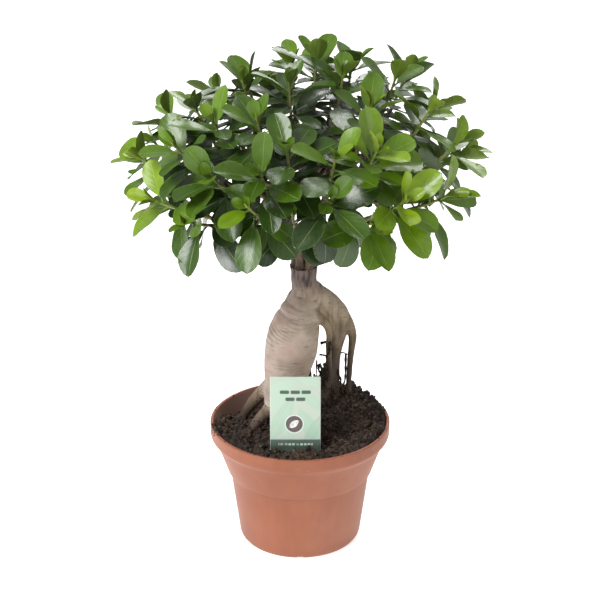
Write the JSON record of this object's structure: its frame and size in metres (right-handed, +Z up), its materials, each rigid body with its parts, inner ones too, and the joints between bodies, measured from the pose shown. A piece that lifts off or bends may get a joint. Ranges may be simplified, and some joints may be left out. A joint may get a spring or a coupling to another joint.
{
  "type": "bonsai tree in a pot",
  "caption": "Young grafted ginseng ficus bonsai with a swollen rootstock and aerial roots, a leafy crown and a plant label, in a tapered plastic nursery pot.",
  "frame": {"origin": "centre of the pot's base, on the plane that the pot stands on", "axes": "+Z up along the pot's axis; -Y towards the side with the plant label"},
  "size_m": [0.2811, 0.2529, 0.3978],
  "materials": {
    "pot_plastic": "satin terracotta-coloured injection-moulded plastic",
    "compost": null,
    "root_bark": "pale grey-brown ficus bark, smooth with fine rings",
    "branch_bark": "brown young bark",
    "foliage": null,
    "label_card": "thin printed plastic card, satin"
  },
  "bodies": {
    "root": {"branch_back_left": "branch_bark", "branch_back_right": "branch_bark", "branch_front": "branch_bark", "branch_front_right": "branch_bark", "branch_left": "branch_bark", "branch_middle": "branch_bark", "branch_right": "branch_bark", "compost": "compost", "label": "label_card", "pot": "pot_plastic", "rootstock": "root_bark", "shoot_01": "foliage", "shoot_02": "foliage", "shoot_03": "foliage", "shoot_04": "foliage", "shoot_05": "foliage", "shoot_06": "foliage", "shoot_07": "foliage", "shoot_08": "foliage", "shoot_09": "foliage", "shoot_10": "foliage", "shoot_11": "foliage", "shoot_12": "foliage", "shoot_13": "foliage", "shoot_14": "foliage", "shoot_15": "foliage", "shoot_16": "foliage", "shoot_17": "foliage", "shoot_18": "foliage", "shoot_19": "foliage", "shoot_20": "foliage", "shoot_21": "foliage", "shoot_22": "foliage", "shoot_23": "foliage", "shoot_24": "foliage", "shoot_25": "foliage", "shoot_26": "foliage", "shoot_27": "foliage", "shoot_28": "foliage", "shoot_29": "foliage", "shoot_30": "foliage", "shoot_31": "foliage", "shoot_32": "foliage", "shoot_33": "foliage", "shoot_34": "foliage", "shoot_35": "foliage", "shoot_36": "foliage", "shoot_37": "foliage", "shoot_38": "foliage", "shoot_39": "foliage", "shoot_40": "foliage", "shoot_41": "foliage", "shoot_42": "foliage", "shoot_43": "foliage", "shoot_44": "foliage", "shoot_45": "foliage", "shoot_46": "foliage", "shoot_47": "foliage"}
  },
  "joints": []
}
